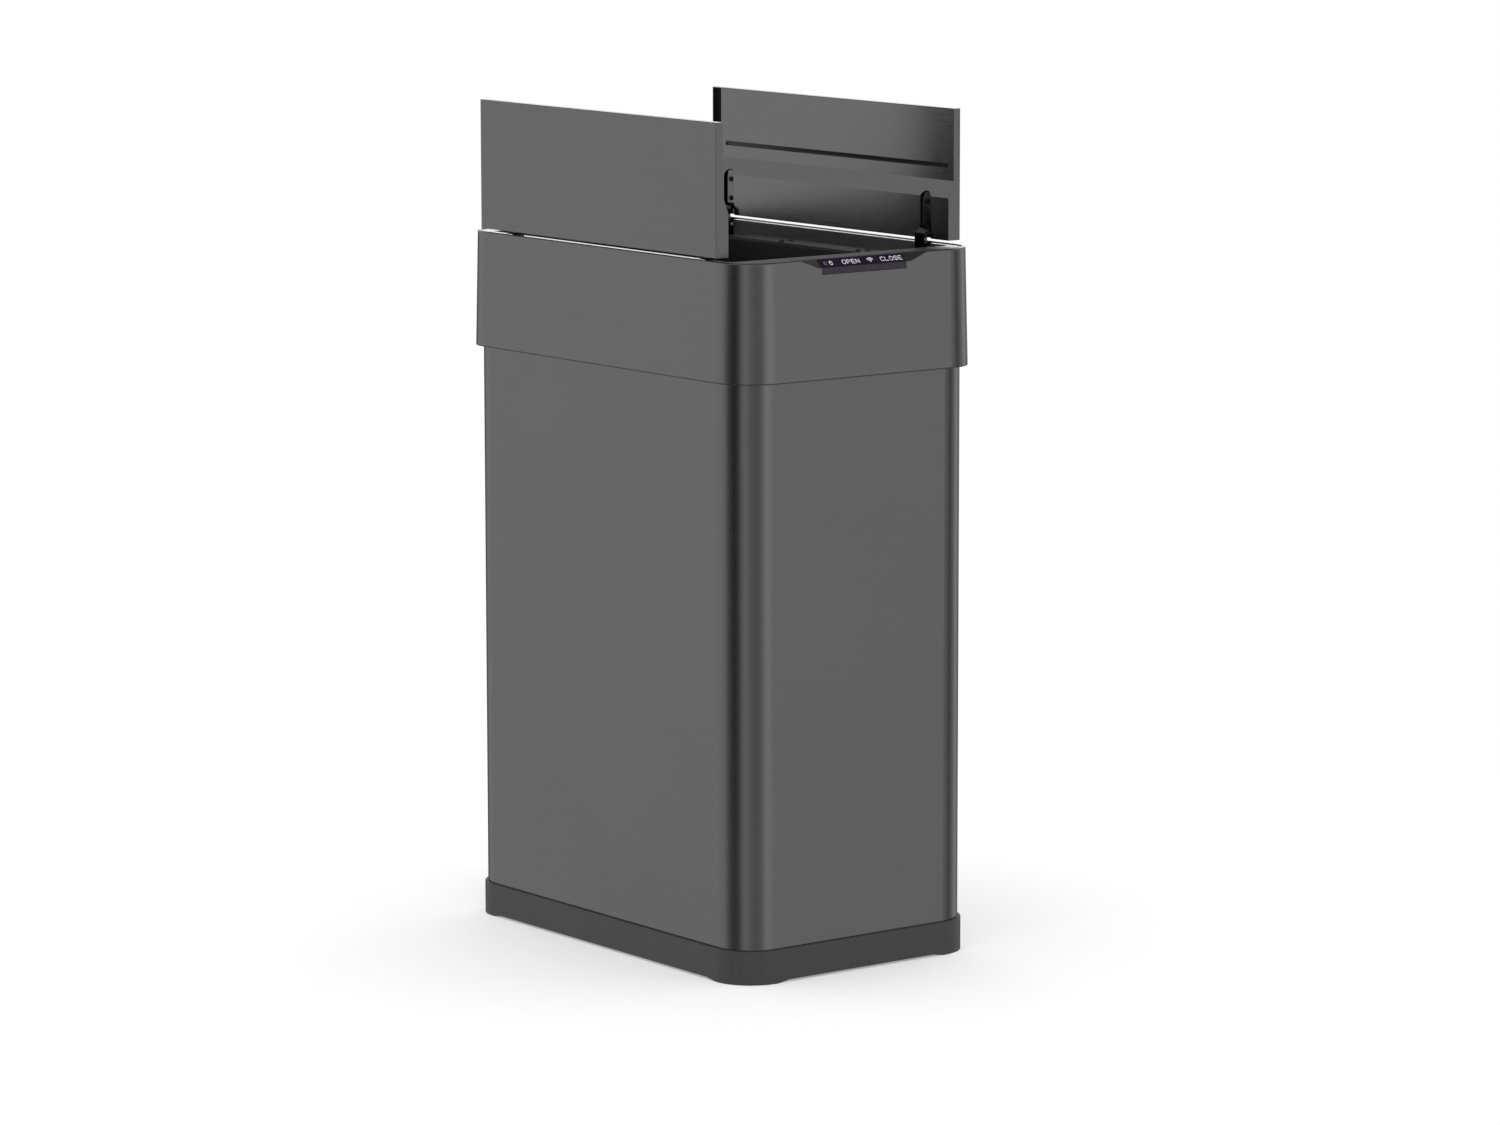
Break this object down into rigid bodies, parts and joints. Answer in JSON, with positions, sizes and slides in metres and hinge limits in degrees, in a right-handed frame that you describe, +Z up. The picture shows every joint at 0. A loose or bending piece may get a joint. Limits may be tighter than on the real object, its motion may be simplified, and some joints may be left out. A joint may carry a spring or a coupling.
{
  "type": "sensor waste bin",
  "caption": "Tall rectangular dark brushed-steel waste bin with a flared lid unit and butterfly lid wings standing open, opened by a motion sensor.",
  "frame": {"origin": "on the floor, under the middle of the bin", "axes": "+Z up, -Y towards the front with the sensor panel, +X to the right as seen from the front"},
  "size_m": [0.287, 0.455, 0.8003],
  "materials": {
    "gunmetal_steel": "dark brushed stainless, satin",
    "brushed_panel": "moulded, with a dark brushed metal-effect coat",
    "black_moulding": "fine moulded grain",
    "gloss_lens": "polished smoked lens",
    "rocker_plastic": "polished",
    "rubber": "matt",
    "blackened_steel": "semi-gloss black coat",
    "plain_steel": "zinc plated",
    "nickel_strip": "nickel plated strip",
    "gear_plastic": "natural acetal",
    "circuit_board": "solder resist",
    "component_black": "moulded packages",
    "cell_can": "plain sleeve"
  },
  "bodies": {
    "bin": {"base": "black_moulding", "body_shell": "gunmetal_steel", "body_seam": "gunmetal_steel", "rim_ring": "black_moulding", "foot_pad_front_left": "rubber", "foot_pad_front_right": "rubber", "foot_pad_rear_left": "rubber", "foot_pad_rear_right": "rubber"},
    "bag_ring": {"bag_ring": "black_moulding"},
    "lid": {"lid_casing": "gunmetal_steel", "deck_frame": "brushed_panel", "hinge_rail_left": "brushed_panel", "hinge_rail_right": "brushed_panel", "throat": "black_moulding", "seat_flange": "black_moulding", "bumper_front_left": "rubber", "bumper_front_right": "rubber", "bumper_rear_left": "rubber", "bumper_rear_right": "rubber", "frame_screw_front_left": "plain_steel", "frame_screw_front_right": "plain_steel", "frame_screw_rear_left": "plain_steel", "frame_screw_rear_right": "plain_steel", "panel_cradle": "black_moulding", "sensor_panel": "gloss_lens", "control_board": "circuit_board", "board_components": "component_black", "battery_box": "black_moulding", "cell_1": "cell_can", "cell_2": "cell_can", "cell_3": "cell_can", "cell_4": "cell_can", "battery_contact_left": "nickel_strip", "battery_contact_right": "nickel_strip", "switch_body": "black_moulding", "power_inlet": "black_moulding", "drive_housing_left": "black_moulding", "drive_housing_right": "black_moulding"},
    "battery_door": {"battery_door": "black_moulding"},
    "switch_rocker": {"switch_rocker": "rocker_plastic"},
    "left_wing": {"wing_skin_left": "gunmetal_steel", "wing_liner_left": "brushed_panel", "hinge_arm_front_left": "blackened_steel", "hinge_arm_rear_left": "blackened_steel", "arm_screws_front_left": "plain_steel", "arm_screws_rear_left": "plain_steel", "hinge_shaft_left": "plain_steel", "hinge_pinion_left": "gear_plastic"},
    "left_drive": {"drive_gear_left": "gear_plastic"},
    "right_wing": {"wing_skin_right": "gunmetal_steel", "wing_liner_right": "brushed_panel", "hinge_arm_front_right": "blackened_steel", "hinge_arm_rear_right": "blackened_steel", "arm_screws_front_right": "plain_steel", "arm_screws_rear_right": "plain_steel", "hinge_shaft_right": "plain_steel", "hinge_pinion_right": "gear_plastic"},
    "right_drive": {"drive_gear_right": "gear_plastic"}
  },
  "joints": [
    {"name": "lid_lift", "type": "slide", "parent": "bin", "child": "lid", "axis": [0, 0, 1], "range_m": [0, 0.12]},
    {"name": "bag_ring_lift", "type": "slide", "parent": "bin", "child": "bag_ring", "axis": [0, 0, 1], "range_m": [0, 0.06]},
    {"name": "right_wing_hinge", "type": "hinge", "parent": "lid", "child": "right_wing", "pos_m": [0.13615, 0, 0.66565], "axis": [0, -1, 0], "range_deg": [0, 90]},
    {"name": "left_wing_hinge", "type": "hinge", "parent": "lid", "child": "left_wing", "pos_m": [-0.13615, 0, 0.66565], "axis": [0, 1, 0], "range_deg": [0, 90]},
    {"name": "right_drive_spin", "type": "hinge", "parent": "lid", "child": "right_drive", "pos_m": [0.13525, 0.121, 0.65823], "axis": [0, -1, 0], "range_deg": [-72, 0]},
    {"name": "left_drive_spin", "type": "hinge", "parent": "lid", "child": "left_drive", "pos_m": [-0.13525, 0.121, 0.65823], "axis": [0, 1, 0], "range_deg": [-72, 0]},
    {"name": "battery_door_hinge", "type": "hinge", "parent": "lid", "child": "battery_door", "pos_m": [0, 0.223, 0.6172], "axis": [-1, 0, 0], "range_deg": [0, 90]},
    {"name": "power_rocker", "type": "hinge", "parent": "lid", "child": "switch_rocker", "pos_m": [0.08, 0.22344, 0.6416], "axis": [1, 0, 0], "range_deg": [0, 16]}
  ],
  "couplings": [
    {"joint": "left_wing_hinge", "follows": "right_wing_hinge", "ratio": 1},
    {"joint": "right_drive_spin", "follows": "right_wing_hinge", "ratio": -0.8},
    {"joint": "left_drive_spin", "follows": "right_wing_hinge", "ratio": -0.8},
    {"joint": "bag_ring_lift", "follows": "lid_lift", "ratio": 0.5}
  ]
}
